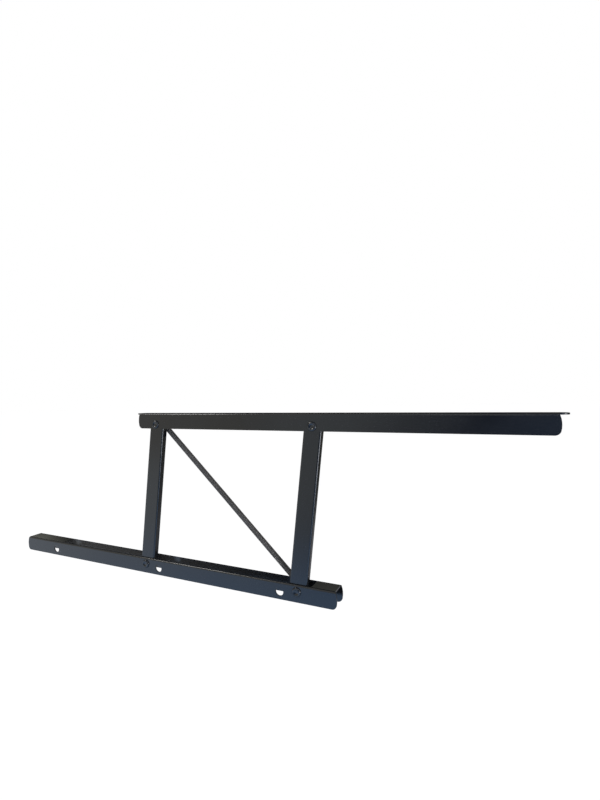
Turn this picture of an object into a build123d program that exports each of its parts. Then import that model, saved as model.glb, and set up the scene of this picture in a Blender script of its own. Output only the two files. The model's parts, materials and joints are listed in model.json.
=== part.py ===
from build123d import *
import os
from math import atan2, cos, hypot, radians, sin, sqrt, tan

# One side unit of a lift top table mechanism, standing raised. A slotted base rail is screwed to
# the side of the table, two tube links carry the top rail, and an extension spring runs corner
# to corner across the parallelogram.
# +X runs forward along the rails, +Z is up, and the plane Y = 0 lies against the table's side.
# The origin is on that plane, midway between the two end screw holes of the base rail.

# Rails: U channels folded from sheet, open below
sheet = 1.5
rail_width = 21.0
rail_height = 20.0
bend_inner_radius = 0.5
flange_end_bulge = 2.0
free_corner_radius = 5.5
pivot_spacing = 225.0

# Base rail, measured along it from its two pivots and down from the outer face of its web
base_front_overhang = 48.5
base_rear_overhang = 245.0
base_pivot_drop = 8.0
screw_drop = 11.0
screw_span = 382.0
end_screw_to_front_pivot = 22.0
middle_screw_to_rear_pivot = 22.0
screw_hole_diameter = 5.0
driver_hole_diameter = 10.0
slot_corner_radius = 3.0
slot_front_clearance = 6.0
slot_rear_clearance = 1.2

# Top rail, measured the same way; its web runs on past both flange tips as a rounded tongue
top_front_overhang = 239.0
top_rear_overhang = 29.0
top_pivot_drop = 14.5
tongue_reach = 7.0
tongue_corner_radius = 7.0
top_screw_span = 328.0
top_screw_to_rear_pivot = 100.0

# Links: rectangular tube; the angles are its lean forward when raised and the swing to closed
link_length = 190.0
link_width = 22.0
link_wall = 1.2
link_corner_radius = 2.0
raised_lean = 7.0
fold_travel = 90.0

# Rivets and what is threaded on them
rivet_diameter = 6.0
rivet_head_diameter = 11.0
rivet_head_height = 1.8
rivet_rim_height = 0.6
rivet_crest_diameter = 7.6
rivet_dimple_diameter = 4.0
rivet_dimple_floor = 0.8
flush_head_diameter = 8.4
bush_diameter = 8.0
spacer_diameter = 8.0
washer_diameter = 11.0
washer_thickness = 0.8

# Spring: a closed coil with a loop at each end
spring_diameter = 7.0
spring_wire = 1.2
spring_hook_length = 10.0

# Clearances
stop_clearance = 0.3
side_play = 0.1
running_clearance = 0.05
open_pivot_clearance = 0.2
seat_clearance = 0.03
hook_clearance = 0.3
coil_clearance = 0.05
spring_clearance = 0.3

# Places across the unit, from the table's side outwards: the spring runs between the inner side
# of the slot and the links, which take up the rest of the rail's width
flat_width = rail_width - 2 * (sheet + bend_inner_radius)
spring_line = -(sheet + bend_inner_radius + spring_clearance + spring_diameter / 2)
inner_flange_face = -sheet
outer_flange_face = sheet - rail_width
outer_washer_face = outer_flange_face + washer_thickness
link_outer_face = outer_washer_face + side_play
link_inner_face = spring_line - spring_diameter / 2 - spring_clearance
link_depth = link_inner_face - link_outer_face
inner_washer_face = link_inner_face + side_play + washer_thickness

# Places along and up the base rail
base_web_top = screw_drop
base_pivot_height = base_web_top - base_pivot_drop
front_pivot = screw_span / 2 + end_screw_to_front_pivot
rear_pivot = front_pivot - pivot_spacing
base_front_tip = front_pivot + base_front_overhang
base_rear_tip = rear_pivot - base_rear_overhang
base_screws = [-screw_span / 2, rear_pivot + middle_screw_to_rear_pivot, screw_span / 2]

# The slot clears a raised link in front, and ends where a closed link passes over the web
lean = radians(raised_lean)
rise = radians(90 + raised_lean - fold_travel)
half_link = link_width / 2
slot_front = front_pivot + half_link / cos(lean) + base_pivot_drop * tan(lean) + slot_front_clearance
slot_rear = rear_pivot - (base_pivot_drop + half_link / cos(rise) + slot_rear_clearance) / tan(rise)

# Places along and up the top rail, with the links raised
top_shift = link_length * sin(lean)
top_pivot_height = base_pivot_height + link_length * cos(lean)
top_web_top = top_pivot_height + top_pivot_drop
top_rear_tip = rear_pivot + top_shift - top_rear_overhang
top_front_tip = front_pivot + top_shift + top_front_overhang
top_screw_start = rear_pivot + top_shift + top_screw_to_rear_pivot
top_screws = [top_screw_start + top_screw_span * share for share in (0, 0.5, 1)]

# The rear upper corner of a link meets the web when raised; its front one swings clear of it
web_reach = top_pivot_drop - sheet - stop_clearance
link_head = (web_reach - half_link * sin(lean)) / cos(lean)

# Every pivot, with the room that its bush leaves round the rivet
pivots = {
    "base_front": (front_pivot, base_pivot_height, running_clearance),
    "base_rear": (rear_pivot, base_pivot_height, running_clearance),
    "top_front": (front_pivot + top_shift, top_pivot_height, running_clearance),
    "top_rear": (rear_pivot + top_shift, top_pivot_height, open_pivot_clearance),
}

os.makedirs("parts", exist_ok=True)


def save(piece, name):
    piece.part.label = name
    export_step(piece.part, f"parts/{name}.step")


def side_view(y):
    # Looking along +Y: X to the right, Z up, and extrusions come towards the viewer
    return Plane.XZ.offset(-y)


def channel(rear_tip, front_tip, web_top, pivot_xs, pivot_z):
    # Both flanges have bulging ends; the web is cut straight where the bulge begins
    low = web_top - rail_height
    middle = web_top - rail_height / 2
    hole_radius = rivet_diameter / 2 + seat_clearance
    with BuildPart() as rail:
        with BuildSketch(Plane.YZ.offset(rear_tip)) as section:
            with Locations((-rail_width / 2, middle)):
                Rectangle(rail_width, rail_height)
            fillet(section.vertices().group_by(Axis.Y)[-1], sheet + bend_inner_radius)
            with Locations((-rail_width / 2, middle - sheet / 2)):
                Rectangle(rail_width - 2 * sheet, rail_height - sheet, mode=Mode.SUBTRACT)
            fillet(section.vertices().group_by(Axis.Y)[-2], bend_inner_radius)
        extrude(amount=front_tip - rear_tip)
        with BuildSketch(side_view(0)) as outline:
            rear = rear_tip + flange_end_bulge
            front = front_tip - flange_end_bulge
            with BuildLine():
                Line((rear, low), (front, low))
                ThreePointArc((front, low), (front_tip, middle), (front, web_top))
                Line((front, web_top), (rear, web_top))
                ThreePointArc((rear, web_top), (rear_tip, middle), (rear, low))
            make_face()
            fillet(outline.vertices().group_by(Axis.Y)[0], free_corner_radius)
        extrude(amount=rail_width, mode=Mode.INTERSECT)
        with BuildSketch(Plane.XY.offset(web_top - sheet)):
            with Locations((rear_tip, -rail_width / 2), (front_tip, -rail_width / 2)):
                Rectangle(2 * flange_end_bulge, flat_width)
        extrude(amount=sheet, mode=Mode.SUBTRACT)

        # Rivet holes: plain outside, countersunk inside for a head that lies flush
        with BuildSketch(side_view(outer_flange_face)):
            with Locations([(x, pivot_z) for x in pivot_xs]):
                Circle(hole_radius)
        extrude(amount=sheet, mode=Mode.SUBTRACT)
        inner_side = [Plane(origin=(x, 0, pivot_z), x_dir=(1, 0, 0), z_dir=(0, 1, 0)) for x in pivot_xs]
        with Locations(inner_side):
            CounterSinkHole(hole_radius, flush_head_diameter / 2 + seat_clearance, sheet, 90)
    return rail.part


def ring(x, z, inner_face, thickness, diameter, clearance):
    # A round sleeve or washer on the rivet at x, z, built outwards from its inner face
    with BuildPart() as sleeve:
        with BuildSketch(side_view(inner_face)):
            with Locations((x, z)):
                Circle(diameter / 2)
                Circle(rivet_diameter / 2 + clearance, mode=Mode.SUBTRACT)
        extrude(amount=thickness)
    return sleeve


def rivet(x, z):
    # The inner head is flush; the outer one is rolled over into a ring round a shallow dimple
    shank = rivet_diameter / 2
    flush = flush_head_diameter / 2
    rim = (rivet_head_diameter / 2, -rail_width - rivet_rim_height)
    crest = (rivet_crest_diameter / 2, -rail_width - rivet_head_height)
    dimple = (rivet_dimple_diameter / 2, -rail_width - rivet_dimple_floor)
    with BuildPart() as pin:
        with BuildSketch(Plane(origin=(x, 0, z))):
            with BuildLine():
                Polyline((0, 0), (flush, 0), (shank, shank - flush), (shank, -rail_width))
                Polyline((shank, -rail_width), (rim[0], -rail_width), rim)
                ThreePointArc(rim, crest, dimple)
                Polyline(dimple, (0, dimple[1]), (0, 0))
            make_face()
        revolve(axis=Axis((x, 0, z), (0, 1, 0)))
    return pin


def link(pivot_x):
    # Tube with a full round lower end; above, one square corner and one rounded to swing clear
    across = (cos(lean), 0, -sin(lean))
    middle = (link_inner_face + link_outer_face) / 2
    along = (sin(lean), 0, cos(lean))
    section = Plane(origin=(pivot_x, middle, base_pivot_height), x_dir=across, z_dir=along)
    face = Plane(origin=(pivot_x, link_inner_face, base_pivot_height), x_dir=across, z_dir=(0, -1, 0))
    top = link_length + link_head
    bore_width = link_width - 2 * link_wall
    bore_depth = link_depth - 2 * link_wall
    arc_start = (sqrt(web_reach**2 - link_head**2), top)
    arc_end = (half_link, link_length + sqrt(web_reach**2 - half_link**2))
    turn = (atan2(link_head, arc_start[0]) + atan2(arc_end[1] - link_length, half_link)) / 2
    arc_middle = (web_reach * cos(turn), link_length + web_reach * sin(turn))
    with BuildPart() as tube:
        with BuildSketch(section.offset(-half_link)):
            RectangleRounded(link_width, link_depth, link_corner_radius)
            RectangleRounded(bore_width, bore_depth, link_corner_radius - link_wall, mode=Mode.SUBTRACT)
        extrude(amount=half_link + top)
        with BuildSketch(face):
            with BuildLine():
                Polyline((half_link, 0), arc_end)
                ThreePointArc(arc_end, arc_middle, arc_start)
                Polyline(arc_start, (-half_link, top), (-half_link, 0))
                ThreePointArc((-half_link, 0), (0, -half_link), (half_link, 0))
            make_face()
        extrude(amount=link_depth, mode=Mode.INTERSECT)
        with BuildSketch(face):
            with Locations((0, 0), (0, link_length)):
                Circle(bush_diameter / 2 + seat_clearance)
        extrude(amount=link_depth, mode=Mode.SUBTRACT)
    return tube


def spring_end(end_plane, coil_length):
    # A loop round the spacer, its shank, and the coil, whose turns lie against each other and are
    # drawn as a tube of the spring's two diameters; the first turn is bent across its end
    wire = spring_wire / 2
    loop = spacer_diameter / 2 + hook_clearance + wire
    with BuildPart() as piece:
        with BuildSketch(Plane(origin=end_plane.origin, x_dir=end_plane.z_dir, z_dir=end_plane.y_dir)):
            with Locations((loop, 0)):
                Circle(wire)
        revolve(axis=Axis(end_plane.origin, (0, 1, 0)))
        with BuildSketch(end_plane.offset(loop)):
            Circle(wire)
        extrude(amount=spring_hook_length - loop)
        with BuildSketch(end_plane.offset(spring_hook_length)):
            Circle(spring_diameter / 2)
        extrude(amount=spring_wire)
        if coil_length > spring_wire:
            with BuildSketch(end_plane.offset(spring_hook_length + spring_wire)):
                Circle(spring_diameter / 2)
                Circle(spring_diameter / 2 - spring_wire, mode=Mode.SUBTRACT)
            extrude(amount=coil_length - spring_wire)
    return piece


# Base rail: slotted web, three driver holes outside and three screw holes inside
base_pivots = [rear_pivot, front_pivot]
base_channel = channel(base_rear_tip, base_front_tip, base_web_top, base_pivots, base_pivot_height)
with BuildPart() as base_rail:
    add(base_channel)
    with BuildSketch(Plane.XY.offset(base_web_top - sheet)):
        with Locations(((slot_front + slot_rear) / 2, -rail_width / 2)):
            RectangleRounded(slot_front - slot_rear, flat_width, slot_corner_radius)
    extrude(amount=sheet, mode=Mode.SUBTRACT)
    with BuildSketch(side_view(0)):
        with Locations([(x, 0) for x in base_screws]):
            Circle(screw_hole_diameter / 2)
    extrude(amount=sheet, mode=Mode.SUBTRACT)
    with BuildSketch(side_view(outer_flange_face)):
        with Locations([(x, 0) for x in base_screws]):
            Circle(driver_hole_diameter / 2)
    extrude(amount=sheet, mode=Mode.SUBTRACT)
save(base_rail, "base_rail")

# Top rail: the web carries the tabletop and is longer than the flanges
top_pivots = [rear_pivot + top_shift, front_pivot + top_shift]
top_web_length = top_front_tip - top_rear_tip + 2 * tongue_reach
top_channel = channel(top_rear_tip, top_front_tip, top_web_top, top_pivots, top_pivot_height)
with BuildPart() as top_rail:
    add(top_channel)
    with BuildSketch(Plane.XY.offset(top_web_top - sheet)):
        with Locations(((top_rear_tip + top_front_tip) / 2, -rail_width / 2)):
            RectangleRounded(top_web_length, flat_width, tongue_corner_radius)
    extrude(amount=sheet)
    with BuildSketch(Plane.XY.offset(top_web_top - sheet)):
        with Locations([(x, -rail_width / 2) for x in top_screws]):
            Circle(screw_hole_diameter / 2)
    extrude(amount=sheet, mode=Mode.SUBTRACT)
save(top_rail, "top_rail")

save(link(front_pivot), "front_link")
save(link(rear_pivot), "rear_link")

# Each pivot: rivet, bush in the link, washers on both sides of it, spacer to the inner flange
for name, (x, z, clearance) in pivots.items():
    outer_washer = ring(x, z, outer_washer_face, washer_thickness, washer_diameter, running_clearance)
    inner_washer = ring(x, z, inner_washer_face, washer_thickness, washer_diameter, running_clearance)
    spacer_length = inner_flange_face - inner_washer_face
    save(rivet(x, z), f"{name}_rivet")
    save(ring(x, z, link_inner_face, link_depth, bush_diameter, clearance), f"{name}_bush")
    save(outer_washer, f"{name}_outer_washer")
    save(inner_washer, f"{name}_inner_washer")
    save(ring(x, z, inner_flange_face, spacer_length, spacer_diameter, running_clearance), f"{name}_spacer")

# Spring, from the front pivot of the base rail to the rear pivot of the top rail
spring_run = rear_pivot + top_shift - front_pivot
spring_climb = top_pivot_height - base_pivot_height
spring_length = hypot(spring_run, spring_climb)
coil_length = spring_length - 2 * spring_hook_length
uphill = (spring_run / spring_length, 0, spring_climb / spring_length)
downhill = (-uphill[0], 0, -uphill[2])
lower_pin = (front_pivot, spring_line, base_pivot_height)
upper_pin = (rear_pivot + top_shift, spring_line, top_pivot_height)
lower_end = Plane(origin=lower_pin, x_dir=(0, 1, 0), z_dir=uphill)
upper_end = Plane(origin=upper_pin, x_dir=(0, 1, 0), z_dir=downhill)

# The last turn goes with the upper loop, because the two ends draw apart as the links fold
save(spring_end(lower_end, coil_length - spring_wire - coil_clearance), "lift_spring")
save(spring_end(upper_end, spring_wire), "spring_top_hook")
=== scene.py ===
import json
import math

import bpy
from mathutils import Matrix, Vector


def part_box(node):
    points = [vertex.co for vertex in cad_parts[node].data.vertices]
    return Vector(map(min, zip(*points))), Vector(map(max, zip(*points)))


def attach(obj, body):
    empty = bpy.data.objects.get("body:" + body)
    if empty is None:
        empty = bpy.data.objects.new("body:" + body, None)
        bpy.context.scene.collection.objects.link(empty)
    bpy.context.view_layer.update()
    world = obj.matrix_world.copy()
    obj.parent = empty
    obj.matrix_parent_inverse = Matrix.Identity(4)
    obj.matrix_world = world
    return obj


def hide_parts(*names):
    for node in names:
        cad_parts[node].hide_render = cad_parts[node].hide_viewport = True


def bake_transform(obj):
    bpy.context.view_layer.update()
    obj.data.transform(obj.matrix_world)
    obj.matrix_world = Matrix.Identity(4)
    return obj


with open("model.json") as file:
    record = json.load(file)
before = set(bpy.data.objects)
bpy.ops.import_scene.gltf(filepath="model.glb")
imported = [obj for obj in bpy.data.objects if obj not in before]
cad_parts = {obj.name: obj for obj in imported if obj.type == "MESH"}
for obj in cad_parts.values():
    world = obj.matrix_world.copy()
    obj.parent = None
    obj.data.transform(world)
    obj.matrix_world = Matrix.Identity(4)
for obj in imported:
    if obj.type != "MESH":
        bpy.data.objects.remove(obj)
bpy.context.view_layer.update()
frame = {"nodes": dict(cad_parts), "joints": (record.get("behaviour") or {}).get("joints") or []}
nodes = frame["nodes"]
joints = {joint["name"]: joint for joint in frame["joints"]}
scene = bpy.context.scene
mm = 0.001
print("frame loaded:", len(nodes), "nodes")


# Node sockets as plain arithmetic, in materials and in Geometry Nodes alike

class Wire:
    def __init__(self, kit, node, out):
        self.kit = kit
        self.node = node
        self.socket = node.outputs[out]

    def other(self, out):  # another output of the same node
        return Wire(self.kit, self.node, out)

    def maths(self, operation, *values):
        return self.kit.add("ShaderNodeMath", {"operation": operation}, dict(enumerate(values)))

    def __add__(self, value):
        return self.maths("ADD", self, value)

    def __radd__(self, value):
        return self.maths("ADD", value, self)

    def __sub__(self, value):
        return self.maths("SUBTRACT", self, value)

    def __rsub__(self, value):
        return self.maths("SUBTRACT", value, self)

    def __mul__(self, value):
        return self.maths("MULTIPLY", self, value)

    def __rmul__(self, value):
        return self.maths("MULTIPLY", value, self)

    def __truediv__(self, value):
        return self.maths("DIVIDE", self, value)

    def __rtruediv__(self, value):
        return self.maths("DIVIDE", value, self)

    def __neg__(self):
        return self * -1

    def size(self):
        return self.maths("ABSOLUTE", self)

    def larger(self, value):
        return self.maths("MAXIMUM", self, value)

    def rise(self, low, high):  # smoothly from 0 at low to 1 at high
        return self.kit.add("ShaderNodeMapRange", {"interpolation_type": "SMOOTHSTEP"},
                            {"Value": self, "From Min": low, "From Max": high})

    def between(self, rising, falling):  # up over the first band, down over the second
        return self.rise(*rising) * (1 - self.rise(*falling))


class NodeKit:
    def __init__(self, tree):
        self.tree = tree

    def add(self, kind, settings=None, sockets=None, out=0):
        node = self.tree.nodes.new(kind)
        for name, value in (settings or {}).items():
            setattr(node, name, value)
        for name, value in (sockets or {}).items():
            for item in value if isinstance(value, list) else [value]:  # a list joins at one socket
                if isinstance(item, Wire):
                    self.tree.links.new(item.socket, node.inputs[name])
                else:
                    node.inputs[name].default_value = item
        return Wire(self, node, out) if len(node.outputs) else node

    def place(self):  # where a point lies on the object
        return self.add("ShaderNodeTexCoord", out="Object")

    def axes(self, place):  # its X, with Y and Z as other outputs
        return self.add("ShaderNodeSeparateXYZ", None, {"Vector": place})

    def mixed(self, share, first, second):  # two colours
        return self.add("ShaderNodeMix", {"data_type": "RGBA"}, {0: share, 6: first, 7: second}, out=2)

    def noise(self, place, scale, detail):
        return self.add("ShaderNodeTexNoise", None, {"Vector": place, "Scale": scale, "Detail": detail})

    def stretched(self, place, scale):
        return self.add("ShaderNodeMapping", None, {"Vector": place, "Scale": scale})

    def relief(self, height, finish):
        return self.add("ShaderNodeBump", None,
                        {"Strength": finish["relief"], "Distance": finish["reliefHeight"], "Height": height})

    def glow(self, colour, strength=1.0):
        return self.add("ShaderNodeEmission", None, {"Color": colour, "Strength": strength})


def newMaterial(name):
    material = bpy.data.materials.new(name)
    material.use_nodes = True
    material.node_tree.nodes.clear()
    return material, NodeKit(material.node_tree)


def finishMaterial(kit, **sockets):
    named = {name.replace("_", " "): value for name, value in sockets.items()}
    surface = kit.add("ShaderNodeBsdfPrincipled", None, named)
    kit.add("ShaderNodeOutputMaterial", None, {"Surface": surface})


def coat(obj, material):
    obj.data.materials.clear()
    obj.data.materials.append(material)


def newObject(name, data):
    obj = bpy.data.objects.new(name, data)
    scene.collection.objects.link(obj)
    return obj


def newMesh(name, points, faces=()):
    mesh = bpy.data.meshes.new(name)
    mesh.from_pydata(points, [], faces)
    return newObject(name, mesh)


def centreOf(node):
    low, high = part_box(node)
    return (low + high) / 2


# Powder coat on the rails and links: faint orange peel, patches of gloss, long scuffs, dust,
# and on the rails chips along the free edges and painted light inside the channel
paint = {
    "colour": (0.0042, 0.0047, 0.0062, 1),
    "paleColour": (0.0088, 0.0094, 0.0108, 1),
    "smooth": 0.17,
    "dull": 0.27,
    "specular": 0.5,
    "patchScale": 9.0,
    "patchBand": (0.32, 0.68),
    "gritScale": 700.0,
    "peelScale": 900.0,
    "peelGrit": 0.4,  # the share of the grit in the relief
    "relief": 0.35,
    "reliefHeight": 0.02 * mm,
    "scuffScale": 480.0,
    "scuffBand": (0.60, 0.72),
    "scuffStretch": 0.12,  # the scale along a rail or link, with 1 across it
    "scuffRough": 0.03,
    "dustScale": 420.0,
    "dustBand": (0.05, 0.13),
    "dustShare": 0.2,
    "dustRough": 0.05,
    # painted light inside the channel: the paler colour, how far in from the faces it reaches, and how far
    # forward from the rear
    "paintedLightColour": (0.080, 0.079, 0.078, 1),
    "paintedLightSide": (0.7 * mm, 0.4 * mm),  # in from the outer face of a flange
    "paintedLightTop": (0.8 * mm, 0.5 * mm),  # down from the upper face of the web
    "paintedLightReach": (50 * mm, 500 * mm),  # forward from the rear end of the rail
    "chipColour": (0.045, 0.042, 0.040, 1),
    "chipWidth": 0.35 * mm,
    "chipBand": (0.52, 0.60),
    "chipRough": 0.1,
}


def paintedChannelLight(axes, low, high):
    # Painted light: inside the channel the paint is paler, towards the rear above all, in place of light
    # falling in there
    middle, halfWidth = (low.y + high.y) / 2, (high.y - low.y) / 2
    deep, shallow = paint["paintedLightSide"]
    inner = 1 - (axes.other("Y") - middle).size().rise(halfWidth - deep, halfWidth - shallow)
    deep, shallow = paint["paintedLightTop"]
    below = 1 - axes.other("Z").rise(high.z - deep, high.z - shallow)
    rear, front = paint["paintedLightReach"]
    return inner * below * (1 - axes.rise(low.x + rear, low.x + front))


def chips(axes, edges, grit):
    bands = [1 - (axes.other(axis) - level).size().rise(0.0, paint["chipWidth"]) for axis, level in edges]
    nearest = bands[0]
    for band in bands[1:]:
        nearest = nearest.larger(band)
    return nearest * grit.rise(*paint["chipBand"])


def paintMaterial(name, stretch, rail=None):
    material, kit = newMaterial(name)
    place = kit.place()
    patch = kit.noise(place, paint["patchScale"], detail=4.0).rise(*paint["patchBand"])
    grit = kit.noise(place, paint["gritScale"], detail=3.0)
    peel = kit.noise(place, paint["peelScale"], detail=1.0)
    streaks = kit.noise(kit.stretched(place, stretch), paint["scuffScale"], detail=5.0)
    scuff = streaks.rise(*paint["scuffBand"])
    dust = kit.add("ShaderNodeTexVoronoi", None, {"Vector": place, "Scale": paint["dustScale"]})
    speck = 1 - dust.rise(*paint["dustBand"])
    pale = patch * (1 - paint["dustShare"]) + speck * paint["dustShare"]
    colour = kit.mixed(pale, paint["colour"], paint["paleColour"])
    rough = (paint["smooth"] + patch * (paint["dull"] - paint["smooth"])
             + scuff * paint["scuffRough"] + speck * paint["dustRough"])
    if rail:
        low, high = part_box(rail)
        axes = kit.axes(place)
        # painted light: paler inside the channel, towards the rear
        colour = kit.mixed(paintedChannelLight(axes, low, high), colour, paint["paintedLightColour"])
        chipped = chips(axes, [("X", low.x), ("X", high.x), ("Z", low.z)], grit)
        colour = kit.mixed(chipped, colour, paint["chipColour"])
        rough = rough + chipped * paint["chipRough"]
    finishMaterial(kit, Base_Color=colour, Roughness=rough, Specular_IOR_Level=paint["specular"],
                   Normal=kit.relief(peel + grit * paint["peelGrit"], paint))
    return material


for rail in ("base_rail", "top_rail"):
    coat(nodes[rail], paintMaterial(rail + "_paint", (paint["scuffStretch"], 1.0, 1.0), rail))
linkPaint = paintMaterial("link_paint", (1.0, 1.0, paint["scuffStretch"]))
for link in ("front_link", "rear_link"):
    coat(nodes[link], linkPaint)
print("rails and links painted")


# Turned steel bushes and spacers, and the black plastic washers
turned = {
    "colour": (0.36, 0.36, 0.37, 1),
    "darkColour": (0.20, 0.19, 0.18, 1),
    "smooth": 0.28,
    "cutScale": 1500.0,
    "cutStretch": 0.05,  # the scale across the pivot's axis, with 1 along it
    "cutRough": 0.12,
    "grimeScale": 260.0,
    "grimeBand": (0.45, 0.70),
    "grimeRough": 0.2,
    "relief": 0.3,
    "reliefHeight": 0.01 * mm,
}
plastic = {
    "colour": (0.014, 0.014, 0.015, 1),
    "paleColour": (0.030, 0.030, 0.031, 1),
    "dull": 0.45,
    "grainScale": 1600.0,
    "grainRough": 0.15,
    "rubScale": 300.0,
    "rubBand": (0.5, 0.7),
    "rubSmooth": 0.1,
    "relief": 0.3,
    "reliefHeight": 0.01 * mm,
}


def turnedMaterial():
    material, kit = newMaterial("turned_steel")
    place = kit.place()
    rings = kit.stretched(place, (turned["cutStretch"], 1.0, turned["cutStretch"]))
    cut = kit.noise(rings, turned["cutScale"], detail=2.0)
    grime = kit.noise(place, turned["grimeScale"], detail=4.0).rise(*turned["grimeBand"])
    finishMaterial(kit, Base_Color=kit.mixed(grime, turned["colour"], turned["darkColour"]), Metallic=1.0,
                   Roughness=turned["smooth"] + cut * turned["cutRough"] + grime * turned["grimeRough"],
                   Normal=kit.relief(cut, turned))
    return material


def plasticMaterial():
    material, kit = newMaterial("washer_plastic")
    place = kit.place()
    grain = kit.noise(place, plastic["grainScale"], detail=2.0)
    rubbed = kit.noise(place, plastic["rubScale"], detail=3.0).rise(*plastic["rubBand"])
    finishMaterial(kit, Base_Color=kit.mixed(rubbed, plastic["colour"], plastic["paleColour"]),
                   Roughness=plastic["dull"] + grain * plastic["grainRough"] - rubbed * plastic["rubSmooth"],
                   Normal=kit.relief(grain, plastic))
    return material


turnedSteel, washerPlastic = turnedMaterial(), plasticMaterial()
for pivot in ("base_front", "base_rear", "top_front", "top_rear"):
    for part in ("bush", "spacer"):
        coat(nodes[f"{pivot}_{part}"], turnedSteel)
    for part in ("outer_washer", "inner_washer"):
        coat(nodes[f"{pivot}_{part}"], washerPlastic)
print("bushes, spacers and washers finished")


# Geometry Nodes: a tree with named inputs, and the plain mesh that it leaves

def newTree(name, inputs):
    tree = bpy.data.node_groups.new(name, "GeometryNodeTree")
    tree.interface.new_socket("Geometry", in_out="INPUT", socket_type="NodeSocketGeometry")
    for label, kind in inputs.items():
        tree.interface.new_socket(label, in_out="INPUT", socket_type="NodeSocket" + kind)
    tree.interface.new_socket("Geometry", in_out="OUTPUT", socket_type="NodeSocketGeometry")
    kit = NodeKit(tree)
    return kit, kit.add("NodeGroupInput", out="Geometry")


def closeTree(kit, geometry, material):
    smooth = kit.add("GeometryNodeSetShadeSmooth", None, {"Geometry": geometry})
    real = kit.add("GeometryNodeRealizeInstances", None, {"Geometry": smooth})
    finished = kit.add("GeometryNodeSetMaterial", None, {"Geometry": real, "Material": material})
    kit.add("NodeGroupOutput", None, {"Geometry": finished})


def grow(source, kit, name, values):
    modifier = source.modifiers.new(name, "NODES")
    modifier.node_group = kit.tree
    for item in kit.tree.interface.items_tree:
        if item.in_out == "INPUT" and item.name in values:
            modifier[item.identifier] = values[item.name]
    graph = bpy.context.evaluated_depsgraph_get()
    graph.update()
    mesh = bpy.data.meshes.new_from_object(source.evaluated_get(graph), depsgraph=graph)
    source.modifiers.clear()
    bpy.data.objects.remove(source)
    mesh.name = name
    print(name, "grown:", len(mesh.polygons), "faces")
    return newObject(name, mesh)


# Rivets: a flush head on the table's side and a rolled one outside, spun over a little unevenly
rivet = {
    "flushHead": [(0, 0), (2.2, 0), (4.1, 0), (4.2, 0.06), (3.0, 1.2)],  # radius, and mm from the table
    "outerFace": 21.0,  # of the rail, in mm from the table's side
    "rolledHead": [(3.0, 0), (5.3, 0), (5.47, 0.05), (5.5, 0.4), (5.38, 0.75), (5.0, 1.2),  # radius, and mm
                   (4.4, 1.6), (3.8, 1.74), (3.15, 1.6), (2.55, 1.2), (2.1, 0.92),  # out from the outer face
                   (1.5, 0.8), (0.7, 0.78), (0, 0.78)],
    "segments": 48,
    "unevenness": 0.05 * mm,
    "unevenScale": 330.0,
    "unevenGain": 4,  # the noise stays within about a quarter of its middle
    "unevenBand": (0.3 * mm, 1.2 * mm),  # out from the outer face
    "seed": 5,
    "colour": (0.006, 0.007, 0.009, 1),
    # paler crest spots: wear, and also a painted glint
    "wornGlintColour": (0.022, 0.022, 0.022, 1),
    "smooth": 0.05,
    "gritScale": 500.0,
    "gritRough": 0.04,
    "rubBand": (0.50, 0.62),
    "crestBand": (22.50 * mm, 22.72 * mm),
    "relief": 0.5,
    "reliefHeight": 0.05 * mm,
}


def rivetMaterial():
    material, kit = newMaterial("rivet_black")
    place = kit.place()
    grit = kit.noise(place, rivet["gritScale"], detail=4.0)
    # Paler spots on the crest of the rolled head: wear, and also a painted glint where highlights sit
    crest = (-kit.axes(place).other("Y")).rise(*rivet["crestBand"])
    rubbed = crest * grit.rise(*rivet["rubBand"])
    finishMaterial(kit, Base_Color=kit.mixed(rubbed, rivet["colour"], rivet["wornGlintColour"]),
                   Roughness=rivet["smooth"] + grit * rivet["gritRough"], Normal=kit.relief(grit, rivet))
    return material


def lathe(name, profile, segments):
    # Each point of the profile makes a ring about Y, or one point where it lies on the axis
    points, faces = [], []
    for radius, y in profile:
        for turn in range(segments if radius else 1):
            angle = 2 * math.pi * turn / segments
            points.append((radius * mm * math.cos(angle), y * mm, radius * mm * math.sin(angle)))
    start = 0
    for (radius, _), (nextRadius, _) in zip(profile, profile[1:]):
        following = start + (segments if radius else 1)
        for turn in range(segments):
            after = (turn + 1) % segments
            if not radius:
                faces.append((start, following + turn, following + after))
            elif not nextRadius:
                faces.append((start + turn, following, start + after))
            else:
                faces.append((start + turn, following + turn, following + after, start + after))
        start = following
    return newMesh(name, points, faces)


def rivetTree(form, material):
    kit, points = newTree("rivet_rows", {"Unevenness": "Float", "Outer Face": "Float", "Seed": "Int"})
    turn = kit.add("FunctionNodeRandomValue", {"data_type": "FLOAT_VECTOR"},
                   {0: (0.0, 0.0, 0.0), 1: (0.0, 2 * math.pi, 0.0), "Seed": points.other("Seed")})
    shape = kit.add("GeometryNodeObjectInfo", None, {"Object": form}, out="Geometry")
    placed = kit.add("GeometryNodeInstanceOnPoints", None,
                     {"Points": points, "Instance": shape, "Rotation": turn})
    real = kit.add("GeometryNodeRealizeInstances", None, {"Geometry": placed})
    where = kit.add("GeometryNodeInputPosition")
    outwards = -kit.axes(where).other("Y") - points.other("Outer Face")
    wave = kit.noise(where, rivet["unevenScale"], detail=1.0) - 0.5
    lift = wave * points.other("Unevenness") * outwards.rise(*rivet["unevenBand"]) * rivet["unevenGain"]
    offset = kit.add("ShaderNodeCombineXYZ", None, {"Y": lift})
    moved = kit.add("GeometryNodeSetPosition", None, {"Geometry": real, "Offset": offset})
    closeTree(kit, moved, material)
    return kit


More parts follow.
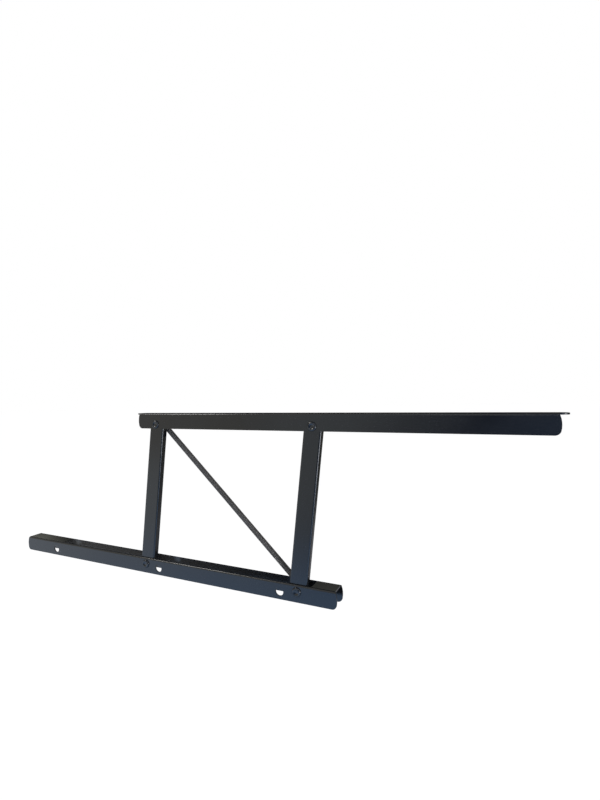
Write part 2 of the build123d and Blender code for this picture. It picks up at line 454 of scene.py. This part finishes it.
profile = [(radius, -depth) for radius, depth in rivet["flushHead"]]
profile += [(radius, -rivet["outerFace"] - height) for radius, height in rivet["rolledHead"]]
form = lathe("rivet_form", profile, rivet["segments"])
rows = rivetTree(form, rivetMaterial())
for body in ("base", "top"):
    replaced = [f"{body}_{end}_rivet" for end in ("front", "rear")]
    spots = newMesh(body + "_spots", [(centreOf(node).x, 0, centreOf(node).z) for node in replaced])
    piece = grow(spots, rows, body + "_rivets", {
        "Unevenness": rivet["unevenness"],
        "Outer Face": rivet["outerFace"] * mm,
        "Seed": rivet["seed"],
    })
    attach(piece, body)
    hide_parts(*replaced)
bpy.data.objects.remove(form)
print("rivets set")


# Spring: close turns of round wire, with an end loop at each pivot that the last turn runs into
spring = {
    "wire": 1.2 * mm,
    "meanRadius": 2.9 * mm,
    "loopRadius": 4.9 * mm,
    "loopStart": 345,  # degrees round the pivot, from straight along the spring
    "loopStep": 15,
    "loopPoints": 22,
    "shank": [(0.9, 5.35), (0.15, 6.1), (0, 7.0)],  # across and along from the pivot, in mm
    "leadIn": [(-150, 0.15, 2.2), (-115, 0.5, 1.6), (-80, 0.85, 1.1),  # degrees round the coil, share of
               (-50, 1.05, 0.65), (-22, 1.05, 0.25), (0, 1, 0)],  # its radius, and mm before its first turn
    "hookLength": 10.0 * mm,
    "stepsPerTurn": 12,
    "wireSides": 6,
    "colour": (0.078, 0.073, 0.070, 1),
    "paleColour": (0.106, 0.100, 0.096, 1),
    "metallic": 0.35,
    "dull": 0.56,
    "oilScale": 60.0,
    "oilBand": (0.35, 0.7),
    "oilShare": 0.7,
    "oilSmooth": 0.06,
    "drawnScale": 1300.0,
    "drawnRough": 0.10,
    "relief": 0.25,
    "reliefHeight": 0.01 * mm,
}


def springMaterial():
    material, kit = newMaterial("spring_wire")
    place = kit.place()
    oil = kit.noise(place, spring["oilScale"], detail=4.0).rise(*spring["oilBand"])
    drawn = kit.noise(place, spring["drawnScale"], detail=3.0)
    pale = oil * spring["oilShare"] + drawn * (1 - spring["oilShare"])
    finishMaterial(kit, Base_Color=kit.mixed(pale, spring["colour"], spring["paleColour"]),
                   Roughness=spring["dull"] + drawn * spring["drawnRough"] - oil * spring["oilSmooth"],
                   Metallic=spring["metallic"], Normal=kit.relief(drawn, spring))
    return material


def hookPoints():
    # From the free end round the loop, up the shank and out into the first turn, about the +Z axis
    step = math.radians(spring["loopStep"])
    pull = 3 / (2 + math.cos(step))  # a cubic spline runs inside its control points by this much
    radius = spring["loopRadius"] * pull
    points = []
    for place in range(spring["loopPoints"]):
        angle = math.radians(spring["loopStart"]) - place * step
        points.append((radius * math.sin(angle), 0, radius * math.cos(angle)))
    points += [(across * mm, 0, along * mm) for across, along in spring["shank"]]
    for degrees, share, before in spring["leadIn"]:
        angle, reach = math.radians(degrees), spring["meanRadius"] * share
        points.append((reach * math.cos(angle), reach * math.sin(angle), spring["hookLength"] - before * mm))
    return points


def springTree(material):
    kit, hooks = newTree("spring_coil", {"Turns": "Float", "Coil Length": "Float", "Coil Radius": "Float",
                                         "Start": "Float", "Steps": "Int", "Wire Radius": "Float",
                                         "Wire Sides": "Int", "Place": "Vector", "Tilt": "Vector"})
    given = hooks.other
    coil = kit.add("GeometryNodeCurveSpiral", None,
                   {"Resolution": given("Steps"), "Rotations": given("Turns"), "Height": given("Coil Length"),
                    "Start Radius": given("Coil Radius"), "End Radius": given("Coil Radius")})
    start = kit.add("ShaderNodeCombineXYZ", None, {"Z": given("Start")})
    raised = kit.add("GeometryNodeTransform", None, {"Geometry": coil, "Translation": start})
    whole = kit.add("GeometryNodeJoinGeometry", None, {"Geometry": [raised, hooks]})
    section = kit.add("GeometryNodeCurvePrimitiveCircle", None,
                      {"Resolution": given("Wire Sides"), "Radius": given("Wire Radius")})
    wire = kit.add("GeometryNodeCurveToMesh", None,
                   {"Curve": whole, "Profile Curve": section, "Fill Caps": True})
    placed = kit.add("GeometryNodeTransform", None,
                     {"Geometry": wire, "Translation": given("Place"), "Rotation": given("Tilt")})
    closeTree(kit, placed, material)
    return kit


lowerPin = Vector(joints["spring_swing"]["pos_m"])
uphill = Vector(joints["spring_stretch"]["axis"])
springLength = (centreOf("top_rear_spacer") - lowerPin).dot(uphill)
coilLength = springLength - 2 * spring["hookLength"]
hookCurve = bpy.data.curves.new("spring_hooks", "CURVE")
hookCurve.dimensions = "3D"
lowerHook = hookPoints()
upperHook = [(x, -y, springLength - z) for x, y, z in lowerHook]
for points in (lowerHook, upperHook):
    line = hookCurve.splines.new("NURBS")
    line.points.add(len(points) - 1)
    for point, place in zip(line.points, points):
        point.co = (*place, 1)
    line.order_u = 4
    line.use_endpoint_u = True
    line.resolution_u = 4
piece = grow(newObject("spring_hooks", hookCurve), springTree(springMaterial()), "lift_spring_wire", {
    "Turns": float(round(coilLength / spring["wire"])),
    "Coil Length": coilLength,
    "Coil Radius": spring["meanRadius"],
    "Start": spring["hookLength"],
    "Steps": spring["stepsPerTurn"],
    "Wire Radius": spring["wire"] / 2,
    "Wire Sides": spring["wireSides"],
    "Place": lowerPin,
    "Tilt": (0, math.atan2(uphill.x, uphill.z), 0),
})
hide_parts("lift_spring", "spring_top_hook")
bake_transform(piece)
print("spring wound")


# Camera: close in front, a little to the right, looking left across the unit
view = {
    "place": (425.3 * mm, -461.8 * mm, 227.6 * mm),
    "heading": 24.70,
    "pitch": -0.77,
    "roll": -1.23,
    "lens": 19.51,
    "sensor": 36.0,
    "clip": (0.01, 100.0),
}
camera = newObject("camera", bpy.data.cameras.new("camera"))
camera.data.lens = view["lens"]
camera.data.sensor_width = view["sensor"]
camera.data.clip_start, camera.data.clip_end = view["clip"]
camera.matrix_world = (Matrix.Translation(view["place"])
                       @ Matrix.Rotation(math.radians(view["heading"]), 4, "Z")
                       @ Matrix.Rotation(math.radians(90 + view["pitch"]), 4, "X")
                       @ Matrix.Rotation(math.radians(view["roll"]), 4, "Z"))
scene.camera = camera


# Soft studio light
lamps = {
    "key": {"place": (-0.79, -0.56, 1.11), "aim": (0.05, 0, 0), "size": 0.30, "tall": 0.30, "power": 5.5,
            "colour": (1.0, 0.99, 0.97)},
    "front": {"place": (0.4, -1.6, 0.9), "aim": (0.1, 0, 0.1), "size": 0.5, "tall": 0.5, "power": 2.2,
              "colour": (1.0, 0.98, 0.95)},
    "right": {"place": (1.10, -0.45, -0.05), "aim": (0.2, 0, 0.1), "size": 0.30, "tall": 0.40, "power": 5.0,
              "colour": (0.96, 0.98, 1.0)},
}
for name, lamp in lamps.items():
    data = bpy.data.lights.new(name + "_lamp", "AREA")
    data.shape = "RECTANGLE"
    data.size, data.size_y = lamp["size"], lamp["tall"]
    data.energy = lamp["power"]
    data.color = lamp["colour"]
    shining = newObject(name + "_lamp", data)
    shining.location = lamp["place"]
    shining.rotation_mode = "QUATERNION"
    shining.rotation_quaternion = (Vector(lamp["aim"]) - Vector(lamp["place"])).to_track_quat("-Z", "Y")
    shining.visible_camera = False
print("camera and lamps set")


# White surroundings and a pale floor. Reflections see a plain room in their place: from the left to
# the right it is warm, cooler, dark round the camera, bluish beside it and bright, and elsewhere dim
room = {
    "white": (1, 1, 1, 1),
    "daylight": (0.55, 0.56, 0.58, 1),
    "left": (0.76, 0.73, 0.65, 1),
    "steps": [  # a band of sideways over ahead, and the colour past it
        ((-0.62, -0.45), (0.78, 0.84, 0.87, 1)),
        ((-0.24, -0.05), (0.0, 0.005, 0.03, 1)),
        ((0.03, 0.13), (0.12, 0.24, 0.48, 1)),
        ((0.55, 1.6), (1.5, 1.55, 1.65, 1)),
    ],
    "above": (0.16, 0.17, 0.20, 1),
    "aheadBand": (0.05, 0.35),
    "leastAhead": 0.05,
}


def roomColour(kit, across, ahead, colour):
    sideways = across / ahead.larger(room["leastAhead"])
    for band, following in room["steps"]:
        colour = kit.mixed(sideways.rise(*band), colour, following)
    return kit.mixed(ahead.rise(*room["aheadBand"]), room["above"], colour)


def rayKinds(kit):
    # Seen by the camera, straight or through something clear, and seen in a reflection
    ray = kit.add("ShaderNodeLightPath")
    return ray.other("Is Camera Ray").larger(ray.other("Is Transmission Ray")), ray.other("Is Glossy Ray")


def panel(name, corners, shading, **seenBy):
    obj = newMesh(name, corners, [(0, 1, 2, 3)])
    for kind, seen in seenBy.items():
        setattr(obj, "visible_" + kind, seen)
    coat(obj, shading)


world = bpy.data.worlds.new("studio")
scene.world = world
world.use_nodes = True
world.node_tree.nodes.clear()
kit = NodeKit(world.node_tree)
seen, reflected = rayKinds(kit)
across = kit.axes(kit.add("ShaderNodeTexCoord", out="Generated"))
mirrored = roomColour(kit, across, -across.other("Y"), room["left"])
lit = kit.mixed(reflected, room["daylight"], mirrored)
sky = kit.add("ShaderNodeBackground", None, {"Color": kit.mixed(seen, lit, room["white"]), "Strength": 1.0})
kit.add("ShaderNodeOutputWorld", None, {"Surface": sky})

# The floor shows the room in reflections too, bright and bluish close in front and grey behind
floor = {
    "height": -0.26,
    "half": 15.0,
    "colour": (0.86, 0.86, 0.86, 1),
    "glowShare": 0.78,
    "glowStrength": 1.15,
    "farLeft": (1.0, 1.08, 1.14, 1),
    "roomBand": (1.2, 3.5),
    "farBand": (0.5, 1.0),
    "nearLeft": (1.0, 1.12, 1.30, 1),
    "nearRight": (0.68, 1.06, 1.70, 1),
    "nearSideBand": (-0.95, 0.05),
    "nearBand": (0.0, 0.25),
    "behind": (0.22, 0.22, 0.22, 1),
    "behindLight": (0.62, 0.62, 0.68, 1),
    "behindRise": (0.32, 0.40),
    "behindFall": (0.46, 0.54),
}
pale, kit = newMaterial("pale_floor")
seen, reflected = rayKinds(kit)
matt = kit.add("ShaderNodeBsdfDiffuse", None, {"Color": floor["colour"]})
glow = kit.glow(room["white"], floor["glowStrength"])
shown = kit.add("ShaderNodeMixShader", None, {0: seen * floor["glowShare"], 1: matt, 2: glow})
across = kit.axes(kit.place())
ahead = -across.other("Y")
left = kit.mixed(ahead.rise(*floor["roomBand"]), floor["farLeft"], room["left"])
near = kit.mixed(across.rise(*floor["nearSideBand"]), floor["nearLeft"], floor["nearRight"])
lighter = across.between(floor["behindRise"], floor["behindFall"])
behind = kit.mixed(lighter, floor["behind"], floor["behindLight"])
close = kit.mixed(ahead.rise(*floor["nearBand"]), behind, near)
far = roomColour(kit, across, ahead, left)
mirrored = kit.glow(kit.mixed(ahead.rise(*floor["farBand"]), close, far))
surface = kit.add("ShaderNodeMixShader", None, {0: reflected, 1: shown, 2: mirrored})
kit.add("ShaderNodeOutputMaterial", None, {"Surface": surface})
half, level = floor["half"], floor["height"]
panel("floor", [(-half, -half, level), (half, -half, level), (half, half, level), (-half, half, level)], pale)

# A dim wall behind, for reflections alone. It is lighter on the right, and at one height also far to
# the left and in the middle
wall = {
    "behind": 1.0,
    "half": 4.0,
    "top": 1.8,
    "colour": (1.0, 1.0, 0.87, 1),
    "dim": 0.03,
    "right": 0.22,
    "rightBand": (0.50, 0.75),
    "left": 0.8,
    "leftBand": (1.45, 1.85),
    "middle": 0.32,
    "middleRise": (-0.42, -0.18),
    "middleFall": (0.1, 0.4),
    "heightRise": (0.40, 0.54),
    "heightFall": (0.66, 0.90),
}
dim, kit = newMaterial("dim_wall")
across = kit.axes(kit.place())
lighter = ((-across).rise(*wall["leftBand"]) * wall["left"]
           + across.between(wall["middleRise"], wall["middleFall"]) * wall["middle"])
lighter = lighter * across.other("Z").between(wall["heightRise"], wall["heightFall"])
strength = wall["dim"] + across.rise(*wall["rightBand"]) * wall["right"] + lighter
kit.add("ShaderNodeOutputMaterial", None, {"Surface": kit.glow(wall["colour"], strength)})
half, back, top = wall["half"], wall["behind"], wall["top"]
panel("wall", [(-half, back, level), (half, back, level), (half, back, top), (-half, back, top)], dim,
      camera=False, diffuse=False, transmission=False, shadow=False)
scene.view_settings.view_transform = "Standard"
print("surroundings set")
